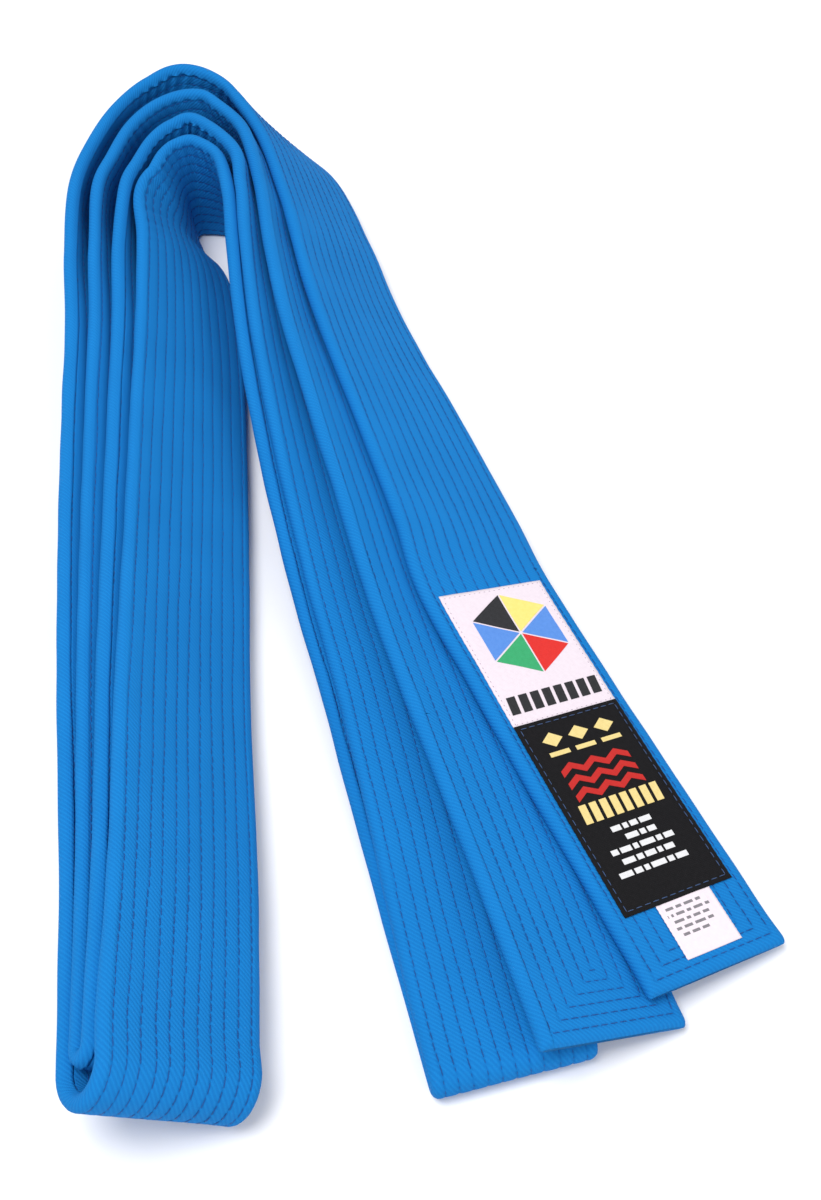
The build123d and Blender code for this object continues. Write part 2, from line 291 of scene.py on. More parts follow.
# ------------------------------------------------------------ seeded smooth noise
def waves(seed, count, longest, shortest, axes=1):
    rng = np.random.default_rng(seed)
    lengths = longest * (shortest / longest) ** rng.random(count)
    turns = rng.random(count) * 2 * math.pi
    phases = rng.random(count) * 2 * math.pi
    strengths = (lengths / longest) ** 0.5
    strengths /= np.sqrt(np.sum(strengths ** 2) / 2)
    if axes == 1:
        return lambda x: sum(
            s * np.sin(2 * math.pi * x / l + p)
            for s, l, p in zip(strengths, lengths, phases)
        )
    return lambda x, y: sum(
        s * np.sin(2 * math.pi * (x * math.cos(t) + y * math.sin(t)) / l + p)
        for s, l, t, p in zip(strengths, lengths, turns, phases)
    )


row_drift = [waves(20 + k, 5, 160, 25) for k in range(ROWS)]
puff = waves(3, 14, 46, 9, axes=2)
lip_drift = waves(5, 6, 60, 9)
pucker = waves(9, 5, 5.6, 4.2)
ROW_DRIFT = 0.1


# --------------------------------------------------------- the belt's cross-section
def section_columns():
    """Points round the section from the seam: across, up, which face, normal, run."""
    columns = []
    edge_turns = [-64, -38, -13, 13, 38, 64]
    beside_row = (0.65, 0.28, 0, -0.28, -0.65, -ROW_PITCH / 2)
    face = [place + step for place in ROW_PLACES[::-1] for step in beside_row]
    face = [FLAT] + face[:-1] + [-FLAT]
    for w in (SEAM + 0.07, SEAM + 0.3, SEAM + 0.6, FLAT):
        columns.append((w, -HALF, -1, 0, -1))
    for turn in edge_turns:
        a, b = math.cos(math.radians(turn)), math.sin(math.radians(turn))
        columns.append((FLAT + HALF * a, HALF * b, 0, a, b))
    columns += [(w, HALF, 1, 0, 1) for w in face]
    for turn in edge_turns[::-1]:
        a, b = math.cos(math.radians(turn)), math.sin(math.radians(turn))
        columns.append((-FLAT - HALF * a, HALF * b, 0, -a, b))
    columns += [(w, -HALF, -1, 0, -1) for w in face[::-1] if w < SEAM - 0.15]
    columns.append((SEAM, -HALF, -1, 0, -1))
    columns = np.array(columns)
    steps = np.linalg.norm(np.diff(columns[:, :2], axis=0), axis=1)
    return np.column_stack([columns, np.concatenate([[0], np.cumsum(steps)])])


COLUMNS = section_columns()


def row_shift(gone, w):
    """How far the stitch rows have drifted sideways at these places."""
    drifts = np.stack([drift(gone[:, 0]) for drift in row_drift], axis=1) * ROW_DRIFT
    spot = np.clip((w - ROW_PLACES[0]) / ROW_PITCH, 0, ROWS - 1.001)
    low = spot.astype(int)
    share = spot - low
    lines = np.arange(len(gone))[:, None]
    return drifts[lines, low] * (1 - share) + drifts[lines, low + 1] * share


def row_distance(gone, w):
    """Distance to the nearest stitch row; at the tips the rows turn in nested corners."""
    from_tip = np.minimum(gone, LENGTH - gone)
    nearest = np.full(np.broadcast(from_tip, w).shape, 9.0)
    for k in range(ROWS // 2 + 1):
        reach = ROW_PLACES[-1 - k]
        turn = FIRST_TIP_ROW + k * TIP_PITCH
        beside = np.hypot(np.abs(w) - reach, np.maximum(turn - from_tip, 0))
        over = np.hypot(np.maximum(np.abs(w) - max(reach, SHORTEST_TURN), 0), from_tip - turn)
        nearest = np.minimum(nearest, np.minimum(beside, over))
    return nearest


def near_apex(gone, width):
    """1 at each bend's apex, fading out; and which face is the inner one there."""
    strength = np.zeros_like(gone)
    face = np.zeros_like(gone)
    for apex, inner in zip(APEXES, INNER_FACE):
        here = np.exp(-(((gone - apex) / width) ** 2))
        face = np.where(here > strength, inner, face)
        strength = np.maximum(strength, here)
    return strength, face


def stitch_phase(row):
    return 0.5 * (row % 2)


def belt_surface(gone, columns=COLUMNS):
    """Points of the quilted surface at these distances, with nearness to the stitch rows (a mask for painted
    groove shade), run and distance.
    """
    gone = np.asarray(gone, float)[:, None]
    w0, y0, face, nw, ny, run = columns.T
    w = w0[None, :] + np.zeros_like(gone)
    on_face = face != 0
    shift = row_shift(gone, w)
    fade = np.clip((FLAT - np.abs(w0)) / 1.0, 0, 1)
    from_tip = np.minimum(gone, LENGTH - gone)
    calm = np.clip((from_tip - TIP_ZONE) / 10, 0, 1)
    w = w + shift * fade * calm
    distance = row_distance(gone, w - shift * fade * calm)
    row = np.clip(np.round((w0 - ROW_PLACES[0]) / ROW_PITCH), 0, ROWS - 1)
    holes = 0.5 + 0.5 * np.cos(2 * math.pi * (gone / STITCH_PITCH + stitch_phase(row)))
    depth = (GROOVE + HOLE * holes * calm) * np.exp(-((distance / GROOVE_WIDTH) ** 2))
    depth = depth + SWELL * np.clip(1 - distance / SWELL_REACH, 0, 1) ** 1.5
    depth = depth * on_face
    rise = PUFF * puff(gone, run[None, :]) - depth
    # the lip of the wrapped cloth, which stands up and wanders a little
    strength, inner = near_apex(gone, PUCKER_REACH)
    on_lip = (face == -1) & (w0 > SEAM + 0.01)
    lip_edge = (w0 > SEAM - 0.01) & (w0 < SEAM + 0.2) & (face == -1)
    lip_fade = np.clip((BELT_WIDTH / 2 - w0) / 2.5, 0, 1)
    rise = rise + LIP * on_lip * lip_fade - 0.16 * ((w0 == SEAM) & (face == -1))
    wander = 0.1 * lip_drift(gone) + PUCKER_WANDER * strength * (inner == -1) * pucker(gone)
    w = w + wander * lip_edge
    # puckers where a face is squeezed inside the bend
    squeezed = strength * (inner == face) * np.clip((w0 - 4) / 10, 0, 1) * (w0 < FLAT)
    rise = rise + PUCKER_RISE * squeezed * pucker(gone + 0.3 * w0)
    # rounded tips, slightly flared
    thin = np.sqrt(np.clip(1 - ((HALF - from_tip) / HALF) ** 2, 0.0, 1))
    thin = np.where(from_tip < HALF, np.maximum(thin, 0.16), 1)
    corner = np.where(from_tip < 1.2, 1 - 0.03 * (1 - from_tip / 1.2) ** 2, 1)
    flare = 1 + 0.012 * np.exp(-((from_tip / 5) ** 2))
    across_belt = (w + rise * nw) * corner * flare
    up = (y0 + rise * ny) * thin
    centres, headings, raised, normals = frames_along(gone[:, 0])
    points = (centres[:, None, :] + across_belt[..., None] * raised[:, None, :]
              + up[..., None] * normals[:, None, :])
    # nearness to the nearest stitch row, used only to paint shade into the cloth along the grooves
    row_shade_mask = np.exp(-((distance / 0.27) ** 2)) * on_face
    return points, row_shade_mask, np.broadcast_to(run, w.shape), np.broadcast_to(gone, w.shape)


def on_surface(gone, w, side, lift=0.0):
    """Points on the plain face of the belt, lifted by so much off its thickness."""
    centres, headings, raised, normals = frames_along(gone)
    up = side * (HALF + np.asarray(lift, float))
    return centres + np.asarray(w, float)[..., None] * raised + up[..., None] * normals


# --------------------------------------------------------------------- mesh makers
def new_mesh(name, points, quads, triangles=(), look=None):
    """An object from arrays of points in millimetres and of faces."""
    mesh = bpy.data.meshes.new(name)
    quads = np.asarray(quads, int).reshape(-1, 4)
    triangles = np.asarray(triangles, int).reshape(-1, 3)
    points = np.asarray(points, float).reshape(-1, 3) * MM
    corners = np.concatenate([quads.ravel(), triangles.ravel()])
    sizes = np.array([4] * len(quads) + [3] * len(triangles))
    mesh.vertices.add(len(points))
    mesh.vertices.foreach_set("co", points.ravel())
    mesh.loops.add(len(corners))
    mesh.loops.foreach_set("vertex_index", corners)
    mesh.polygons.add(len(sizes))
    mesh.polygons.foreach_set("loop_start", np.concatenate([[0], np.cumsum(sizes)[:-1]]))
    mesh.update(calc_edges=True)
    mesh.validate()
    mesh.shade_smooth()
    made = bpy.data.objects.new(name, mesh)
    bpy.context.scene.collection.objects.link(made)
    if look:
        mesh.materials.append(look)
    return made


def tube_faces(rings, around):
    """Quads of the wall of a tube."""
    grid = np.arange(rings * around).reshape(rings, around)
    turned = np.roll(grid, -1, axis=1)
    return np.stack([grid[:-1], turned[:-1], turned[1:], grid[1:]], axis=-1).reshape(-1, 4)


def cap_strip(indices):
    """Faces that close a ring, running across it between its two faces."""
    faces = []
    low, high = 0, len(indices) - 1
    while high - low > 2:
        faces.append((indices[low], indices[high], indices[high - 1], indices[low + 1]))
        low, high = low + 1, high - 1
    rest = indices[low:high + 1]
    return faces, [tuple(rest)] if len(rest) == 3 else []


def point_attribute(obj, name, values):
    made = obj.data.attributes.new(name, "FLOAT_VECTOR", "POINT")
    made.data.foreach_set("vector", np.asarray(values, np.float32).ravel())


def ring_grid():
    """Distances of all rings: fine at the tips and in the bends, two a stitch elsewhere."""
    half_stitch = STITCH_PITCH / 2
    steps = int(LENGTH / half_stitch)
    rings = [i * half_stitch for i in range(steps + 1)]
    fine = [r + half_stitch / 2 for r in rings if min(abs(r - a) for a in APEXES) < 42]
    start = [0.1, 0.35, 0.7, 1.1, 1.6, 2.1] + list(np.arange(2.5, TIP_ZONE, 0.4))
    end = [LENGTH - d for d in start]
    kept = [r for r in rings + fine if TIP_ZONE < r < LENGTH - TIP_ZONE]
    return np.array(sorted(start + kept + end))


RINGS = ring_grid()


def nearest_ring(gone):
    return int(np.argmin(np.abs(RINGS - gone)))


surface, row_shade_mask, runs, gones = belt_surface(RINGS)
around_step = np.roll(surface, -1, axis=1) - np.roll(surface, 1, axis=1)
along_step = np.gradient(surface, axis=0)
vertex_normals = np.cross(around_step, along_step)
vertex_normals /= np.linalg.norm(vertex_normals, axis=-1, keepdims=True)


def cover_piece(name, first, last, look):
    """One piece of the quilted cover, between two rings, with its ends closed."""
    points = surface[first:last + 1]
    rings, around = points.shape[:2]
    quads = tube_faces(rings, around)
    start = list(range(around))
    end = [(rings - 1) * around + i for i in start]
    start_quads, start_triangles = cap_strip(start)
    end_quads, end_triangles = cap_strip(end[::-1])
    side_count = len(quads)
    quads = np.concatenate([quads, start_quads, end_quads])
    triangles = start_triangles + end_triangles
    made = new_mesh(name, points, quads, triangles, look)
    mesh = made.data
    normals = vertex_normals[first:last + 1].reshape(-1, 3)
    loop_normals = np.zeros((len(mesh.loops), 3))
    corners = np.zeros(len(mesh.loops), int)
    mesh.loops.foreach_get("vertex_index", corners)
    loop_normals[:side_count * 4] = normals[corners[:side_count * 4]]
    headings = frames_along(RINGS[[first, last]])[1]
    caps = corners[side_count * 4:] < around
    loop_normals[side_count * 4:] = np.where(caps[:, None], -headings[0], headings[1])
    mesh.normals_split_custom_set(loop_normals.tolist())
    cloth = np.stack([gones[first:last + 1], runs[first:last + 1],
                      row_shade_mask[first:last + 1]], axis=-1)
    point_attribute(made, "cloth", cloth)
    return made


THREAD = 0.125
THREAD_DEPTH = 0.18                  # how far the sewing sinks into the cover


def stitch_mesh(name, starts, ends, ups, radius, look):
    """Short tapered threads between two rows of points, as one mesh."""
    starts, ends, ups = (np.asarray(v, float) for v in (starts, ends, ups))
    ways = ends - starts
    ways /= np.linalg.norm(ways, axis=1, keepdims=True)
    sides = np.cross(ways, ups)
    rings = []
    for share, size, sink in ((0.12, 0.75, 0), (0.5, 1.0, 0.35), (0.88, 0.75, 0)):
        middle_point = starts + (ends - starts) * share + ups * radius * sink
        for i in range(5):
            turn = 2 * math.pi * i / 5
            rings.append(middle_point + radius * size
                         * (math.cos(turn) * sides + math.sin(turn) * ups))
    low = starts - ups * radius * 0.9
    high = ends - ups * radius * 0.9
    points = np.stack([low] + rings + [high], axis=1)
    count = len(points)
    base = (np.arange(count) * 17)[:, None, None]
    quads, triangles = [], []
    for ring in (0, 1):
        for i in range(5):
            j = (i + 1) % 5
            a, b = 1 + ring * 5 + i, 1 + ring * 5 + j
            quads.append((a, b, b + 5, a + 5))
    for i in range(5):
        j = (i + 1) % 5
        triangles.append((0, 1 + j, 1 + i))
        triangles.append((16, 11 + i, 11 + j))
    quads = (np.array(quads)[None] + base).reshape(-1, 4)
    triangles = (np.array(triangles)[None] + base).reshape(-1, 3)
    return new_mesh(name, points, quads, triangles, look)


def stitches_between(name, first, last, look):
    """All quilting stitches of the piece between two rings."""
    low, high = RINGS[first], RINGS[last]
    rng = np.random.default_rng(int(low) + 7)
    places = []
    hidden = 0.22                        # each end of a stitch dives under the cloth
    for row, reach in enumerate(ROW_PLACES):
        k = min(row, ROWS - 1 - row)
        turn = FIRST_TIP_ROW + k * TIP_PITCH
        phase = stitch_phase(row)
        number = np.arange(math.floor(low / STITCH_PITCH) - 1, math.ceil(high / STITCH_PITCH) + 1)
        start = (number - phase) * STITCH_PITCH + hidden
        end = start + STITCH_PITCH - 2 * hidden
        inside = (start >= low) & (start < high)
        inside &= (start > turn + 0.2) & (end < LENGTH - turn - 0.2)
        start, end = start[inside], end[inside]
        lean = 0.07 * rng.standard_normal(len(start))
        w = np.full(len(start), reach)
        places.append(np.stack([start, w - 0.05 + lean, end, w + 0.05 + lean], axis=1))
    for tip_low, tip_high in ((0, TIP_ZONE), (LENGTH - TIP_ZONE, LENGTH)):
        if not (low < tip_high and high > tip_low):
            continue
        for k in range(ROWS // 2 + 1):
            reach = max(ROW_PLACES[-1 - k], SHORTEST_TURN)
            turn = FIRST_TIP_ROW + k * TIP_PITCH
            cross = turn if tip_low == 0 else LENGTH - turn
            count = max(1, round(2 * reach / STITCH_PITCH))
            cuts = np.linspace(-reach, reach, count + 1)
            gone = np.full(count, cross)
            places.append(np.stack([gone, cuts[:-1] + 0.2, gone, cuts[1:] - 0.2], axis=1))
    places = np.concatenate(places)
    shift = row_shift(places[:, :1], places[:, 1:2])[:, 0]
    from_tip = np.minimum(places[:, 0], LENGTH - places[:, 0])
    shift = shift * np.clip((from_tip - TIP_ZONE) / 10, 0, 1)
    lift = np.full(len(places), THREAD * 0.75 - THREAD_DEPTH)
    starts, ends, ups = [], [], []
    for side in (1, -1):
        starts.append(on_surface(places[:, 0], places[:, 1] + shift, side, lift))
        ends.append(on_surface(places[:, 2], places[:, 3] + shift, side, lift))
        ups.append(frames_along(places[:, 0])[3] * side)
    made = stitch_mesh(name, np.concatenate(starts), np.concatenate(ends),
                       np.concatenate(ups), THREAD, look)
    return made


PLY_HALF_WIDTHS = (17.7, 18.0, 17.7)
PLY_LEVELS = (0.92, 0.0, -0.92)
PLY_HALF = 0.44                      # half a ply's thickness
PLY_OUTLINE = (
    (1, 0), (0.985, 0.8), (0.5, 1), (0, 1), (-0.5, 1), (-0.985, 0.8),
    (-1, 0), (-0.985, -0.8), (-0.5, -1), (0, -1), (0.5, -1), (0.985, -0.8),
)
TUCK = 6.2                           # the plies stop this far from a tip


def core_piece(name, first, last, look):
    """The three cotton plies inside a piece of cover, each a thin padded layer."""
    low = max(RINGS[first] + 0.02, TUCK)
    high = min(RINGS[last] - 0.02, LENGTH - TUCK)
    gone = np.linspace(low, high, max(4, int((high - low) / 2.2)))
    centres, headings, raised, normals = frames_along(gone)
    around = len(PLY_OUTLINE)
    start = list(range(around))
    end = [(len(gone) - 1) * around + i for i in start]
    faces = np.concatenate([tube_faces(len(gone), around), cap_strip(start)[0],
                            cap_strip(end[::-1])[0]])
    points, quads = [], []
    for number, (level, half_width) in enumerate(zip(PLY_LEVELS, PLY_HALF_WIDTHS)):
        ring = np.array([(w * half_width, level + y * PLY_HALF) for w, y in PLY_OUTLINE])
        layer = (centres[:, None] + ring[None, :, :1] * raised[:, None]
                 + ring[None, :, 1:] * normals[:, None])
        layer = layer + 0.02 * puff(gone[:, None], ring[None, :, 0])[..., None] * normals[:, None]
        points.append(layer.reshape(-1, 3))
        quads.append(faces + number * len(gone) * around)
    made = new_mesh(name, np.concatenate(points), np.concatenate(quads), (), look)
    return made


# ----------------------------------------------------------------------- materials
def material(name):
    made = bpy.data.materials.new(name)
    made.use_nodes = True
    return made, made.node_tree.nodes, made.node_tree.links, made.node_tree.nodes["Principled BSDF"]


def maths(nodes, links, operation, a, b=None, c=None):
    made = nodes.new("ShaderNodeMath")
    made.operation = operation
    for socket, value in zip(made.inputs, (a, b, c)):
        if value is None:
            continue
        if isinstance(value, (int, float)):
            socket.default_value = value
        else:
            links.new(value, socket)
    return made.outputs[0]


def mixed(nodes, links, factor, first, second):
    made = nodes.new("ShaderNodeMix")
    made.data_type = "RGBA"
    for socket, value in ((made.inputs[0], factor), (made.inputs[6], first), (made.inputs[7], second)):
        if isinstance(value, (int, float)):
            socket.default_value = value
        elif isinstance(value, tuple):
            socket.default_value = (*value, 1)
        else:
            links.new(value, socket)
    return made.outputs[2]


def cloth_coordinates(nodes, links):
    read = nodes.new("ShaderNodeAttribute")
    read.attribute_name = "cloth"
    parts = nodes.new("ShaderNodeSeparateXYZ")
    links.new(read.outputs["Vector"], parts.inputs[0])
    return read.outputs["Vector"], parts.outputs


def noise(nodes, links, vector, scale, detail=3.0, roughness=0.5):
    made = nodes.new("ShaderNodeTexNoise")
    made.inputs["Scale"].default_value = scale
    made.inputs["Detail"].default_value = detail
    made.inputs["Roughness"].default_value = roughness
    links.new(vector, made.inputs["Vector"])
    return made.outputs["Fac"]


def slanted(nodes, links, parts, along, up, warp=None):
    """A wave over the cloth: along and up are turns per millimetre each way."""
    total = maths(nodes, links, "MULTIPLY", parts[0], along)
    total = maths(nodes, links, "MULTIPLY_ADD", parts[1], up, total)
    if warp is not None:
        total = maths(nodes, links, "ADD", total, warp)
    wave = maths(nodes, links, "SINE", maths(nodes, links, "MULTIPLY", total, 2 * math.pi))
    return maths(nodes, links, "MULTIPLY_ADD", wave, 0.5, 0.5)


def bumped(nodes, links, shader, height, distance, strength=1.0):
    made = nodes.new("ShaderNodeBump")
    made.inputs["Distance"].default_value = distance
    made.inputs["Strength"].default_value = strength
    links.new(height, made.inputs["Height"])
    links.new(made.outputs["Normal"], shader.inputs["Normal"])


def finish_of(shader, roughness, sheen, tint, specular=0.3):
    shader.inputs["Roughness"].default_value = roughness
    shader.inputs["Sheen Weight"].default_value = sheen
    shader.inputs["Sheen Roughness"].default_value = 0.45
    shader.inputs["Sheen Tint"].default_value = (*tint, 1)
    shader.inputs["Specular IOR Level"].default_value = specular


def cover_cloth():
    made, nodes, links, shader = material("azure_twill")
    vector, parts = cloth_coordinates(nodes, links)
    large = noise(nodes, links, vector, 0.045, 4)
    small = noise(nodes, links, vector, 1.3, 5, 0.6)
    fibres = noise(nodes, links, vector, 6.0, 2, 0.7)
    warp = maths(nodes, links, "MULTIPLY", small, 0.35)
    twill = slanted(nodes, links, parts, 0.82, 0.82, warp)
    yarn = slanted(nodes, links, parts, 0.0, 2.6, None)
    colour = mixed(nodes, links, large, (0.006, 0.172, 0.49), (0.008, 0.205, 0.565))
    shade = maths(nodes, links, "MULTIPLY", twill, 0.32)
    colour = mixed(nodes, links, shade, colour, (0.002, 0.10, 0.38))
    specks = maths(nodes, links, "MULTIPLY", maths(nodes, links, "POWER", fibres, 4), 0.5)
    colour = mixed(nodes, links, specks, colour, (0.025, 0.33, 0.80))
    # painted shade: the cloth's colour is darkened along the stitch rows, as if the grooves lay in shade
    row = maths(nodes, links, "MULTIPLY", parts[2], 0.3)
    colour = mixed(nodes, links, row, colour, (0.003, 0.095, 0.36))
    links.new(colour, shader.inputs["Base Color"])
    height = maths(nodes, links, "MULTIPLY", twill, 0.65)
    height = maths(nodes, links, "MULTIPLY_ADD", yarn, 0.15, height)
    height = maths(nodes, links, "MULTIPLY_ADD", fibres, 0.35, height)
    bumped(nodes, links, shader, height, 0.00013, 0.9)
    finish_of(shader, 0.88, 0.05, (0.08, 0.45, 1.0), 0.12)
    return made


def thread(name, dark, light):
    made, nodes, links, shader = material(name)
    where = nodes.new("ShaderNodeTexCoord").outputs["Object"]
    tone = noise(nodes, links, where, 900, 3)
    twist = noise(nodes, links, where, 4200, 2)
    links.new(mixed(nodes, links, tone, dark, light), shader.inputs["Base Color"])
    bumped(nodes, links, shader, twist, 0.00006)
    finish_of(shader, 0.6, 0.15, (0.6, 0.8, 1.0))
    return made


def plain_weave(name, dark, light, scale=2.2, roughness=0.9, sheen=0.1, depth=0.00006,
                specular=0.3):
    """A fine woven cloth whose yarns cross at right angles."""
    made, nodes, links, shader = material(name)
    vector, parts = cloth_coordinates(nodes, links)
    small = noise(nodes, links, vector, 0.9, 4)
    over = slanted(nodes, links, parts, scale, 0.0)
    under = slanted(nodes, links, parts, 0.0, scale)
    cross = maths(nodes, links, "MULTIPLY", over, under)
    tone = maths(nodes, links, "MULTIPLY_ADD", small, 0.6, maths(nodes, links, "MULTIPLY", cross, 0.4))
    links.new(mixed(nodes, links, tone, dark, light), shader.inputs["Base Color"])
    bumped(nodes, links, shader, cross, depth, 0.8)
    finish_of(shader, roughness, sheen, (1.0, 1.0, 1.0), specular)
    return made


AZURE = cover_cloth()
# painted shade: the quilting thread is the cover's own blue, darkened as if it lay in shade, sunk in its
# grooves
SHADED_BLUE_THREAD = thread("shaded_blue_thread", (0.001, 0.04, 0.2), (0.003, 0.085, 0.33))
BORDER_THREAD = thread("border_thread", (0.02, 0.05, 0.14), (0.06, 0.11, 0.24))
PALE_THREAD = thread("pale_thread", (0.16, 0.09, 0.16), (0.4, 0.3, 0.4))
COTTON = plain_weave("core_cotton", (0.62, 0.6, 0.52), (0.86, 0.84, 0.77), 1.2)
SATIN = plain_weave("label_satin", (0.70, 0.60, 0.67), (0.86, 0.78, 0.84), 2.4, 0.55, 0.2)
BLACK_WEAVE = plain_weave("label_black", (0.0025, 0.0025, 0.003), (0.012, 0.011, 0.013), 2.2, 0.75,
                          0.02, 0.00008, 0.15)
RIBBON = plain_weave("care_ribbon", (0.74, 0.64, 0.70), (0.88, 0.80, 0.85), 3.0, 0.7, 0.1, 0.00003)
BLACK_SILK = plain_weave("motif_black", (0.006, 0.006, 0.008), (0.03, 0.03, 0.035), 3.0, 0.5)
YELLOW = plain_weave("motif_yellow", (0.78, 0.64, 0.12), (0.9, 0.8, 0.3), 3.0, 0.5)
BLUE = plain_weave("motif_blue", (0.06, 0.2, 0.6), (0.13, 0.32, 0.78), 3.0, 0.5)
RED = plain_weave("motif_red", (0.6, 0.012, 0.01), (0.78, 0.03, 0.02), 3.0, 0.5)
GREEN = plain_weave("motif_green", (0.02, 0.3, 0.1), (0.05, 0.46, 0.2), 3.0, 0.5)
GOLD = plain_weave("motif_gold", (0.66, 0.5, 0.16), (0.92, 0.76, 0.36), 2.6, 0.45)
DEEP_RED = plain_weave("motif_deep_red", (0.42, 0.01, 0.008), (0.62, 0.02, 0.015), 2.6, 0.5)
WHITE = plain_weave("motif_white", (0.6, 0.6, 0.62), (0.9, 0.9, 0.9), 2.6, 0.5)
GREY_INK = plain_weave("care_ink", (0.16, 0.15, 0.17), (0.3, 0.28, 0.3), 3.0, 0.8)

# ------------------------------------------------------------- the belt's own pieces
BEND_WAY = np.array((0.9036, 0.1039, 0.4154))
BEND_START, BEND_END = -35.3, -20.8
bend_start = BEND_WAY * BEND_START * MM
bend_end = BEND_WAY * BEND_END * MM


def cut(strip, place):
    return nearest_ring(distance_at(strip, place))


labelled_split = nearest_ring(LABELLED_END)
plain_split = nearest_ring(LENGTH - PLAIN_END)
last_ring = len(RINGS) - 1
LIFT_ZONE = 24.0


def lift_line(split, toward):
    """Start and end of the stretch that bends as an end lifts, from its split."""
    centres, headings = frames_along([RINGS[split]])[:2]
    start = centres[0]
    return start * MM, (start + toward * headings[0] * LIFT_ZONE) * MM


labelled_line = lift_line(labelled_split, -1)
plain_line = lift_line(plain_split, 1)
BENDING = ("left_leg", "right_leg", bend_start, bend_end)
LIFTING_LABELLED = ("right_leg", "labelled_end", *labelled_line)
LIFTING_PLAIN = ("right_leg", "plain_end", *plain_line)


def plies(stretch):
    return [f"{stretch}_ply_{i}" for i in (1, 2, 3)]


# name, first and last ring, what it moves with, CAD stretches it stands for
PIECES = [
    ("labelled_end", 0, labelled_split, LIFTING_LABELLED, ["labelled_end"]),
    ("labelled_strip", labelled_split, cut(0, RIGHT_CUT), "right_leg", ["labelled_strip"]),
    ("bend_outermost", cut(0, RIGHT_CUT), cut(0, LEFT_CUT), BENDING, ["labelled_strip", "left_outer"]),
    ("left_outer", cut(0, LEFT_CUT), cut(3, LEFT_CUT), "left_leg", ["left_outer"]),
    ("bend_innermost", cut(3, LEFT_CUT), cut(3, RIGHT_CUT), BENDING, ["left_outer", "right_fold"]),
    ("right_fold", cut(3, RIGHT_CUT), cut(2, RIGHT_CUT), "right_leg", ["right_fold"]),
    ("bend_third", cut(2, RIGHT_CUT), cut(2, LEFT_CUT), BENDING, ["right_fold", "left_inner"]),
    ("left_inner", cut(2, LEFT_CUT), cut(1, LEFT_CUT), "left_leg", ["left_inner"]),
    ("bend_second", cut(1, LEFT_CUT), cut(1, RIGHT_CUT), BENDING, ["left_inner", "plain_strip"]),
    ("plain_strip", cut(1, RIGHT_CUT), plain_split, "right_leg", ["plain_strip"]),
    ("plain_end", plain_split, last_ring, LIFTING_PLAIN, ["plain_end"]),
]


def moves_with(obj, how):
    if isinstance(how, str):
        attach(obj, how)
    else:
        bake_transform(obj)


for name, first, last, how, stretches in PIECES:
    cover = cover_piece(f"{name}_quilted_cover", first, last, AZURE)
    sewing = stitches_between(f"{name}_stitches", first, last, SHADED_BLUE_THREAD)
    core = core_piece(f"{name}_core", first, last, COTTON)
    for made in (cover, sewing, core):
        moves_with(made, how)
    for stretch in stretches:
        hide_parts(f"{stretch}_cover")
        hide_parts(*plies(stretch))
        if stretch.endswith("_end"):
            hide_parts(f"{stretch}_tuck")

# -------------------------------------------------------------------------- labels
LABEL_WIDTH = 32.0
APPROVAL = (76.2, 120.0)
BRAND = (19.5, 76.6)
CARE = (4.6, 27.0)
CARE_WIDTH = 16.0
CARE_OFFSET = -1.0
CARE_HINGE = 19.1


def label_height(kind, gone, w):
    """Top of a label over the face of the belt, with its sewn edges pulled down."""
    span, width, middle, lift = kind
    edge = np.minimum(np.minimum(gone - span[0], span[1] - gone), width / 2 - np.abs(w - middle))
    pull = np.exp(-((np.maximum(edge, 0) - 1.2) / 0.5) ** 2)
    return lift + 0.03 * puff(gone * 1.7, w * 1.7) - 0.1 * pull


APPROVAL_KIND = (APPROVAL, LABEL_WIDTH, 0.0, 0.34)
BRAND_KIND = (BRAND, LABEL_WIDTH, 0.0, 0.56)
CARE_KIND = (CARE, CARE_WIDTH, CARE_OFFSET, 0.30)


def label_sheet(name, kind, thickness, look, step=0.8):
    """A thin woven sheet over the labelled end, closed all round."""
    span, width, middle, lift = kind
    gone = np.linspace(*span, int((span[1] - span[0]) / step))
    w = np.linspace(middle - width / 2, middle + width / 2, int(width / step))
    g, ww = np.meshgrid(gone, w, indexing="ij")
    fray = 0.06 * np.sin(g * 5.1) * (np.abs(ww - middle) > width / 2 - 0.01)
    height = label_height(kind, g, ww)
    flat_g, flat_w = g.ravel(), (ww + fray).ravel()
    top = on_surface(flat_g, flat_w, 1, height.ravel())
    low = on_surface(flat_g, flat_w, 1, height.ravel() - thickness)
    rows, columns = g.shape
    grid = np.arange(rows * columns).reshape(rows, columns)
    count = rows * columns
    up = np.stack([grid[:-1, :-1], grid[1:, :-1], grid[1:, 1:], grid[:-1, 1:]], -1).reshape(-1, 4)
    rim = np.concatenate([grid[0, :-1], grid[:-1, -1], grid[-1, :0:-1], grid[:0:-1, 0]])
    nxt = np.roll(rim, -1)
    walls = np.stack([rim, nxt, nxt + count, rim + count], -1)
    quads = np.concatenate([up, up[:, ::-1] + count, walls])
    made = new_mesh(name, np.concatenate([top, low]), quads, (), look)
    cloth = np.stack([flat_g, flat_w, np.zeros(count)], -1)
    point_attribute(made, "cloth", np.concatenate([cloth, cloth]))
    return made


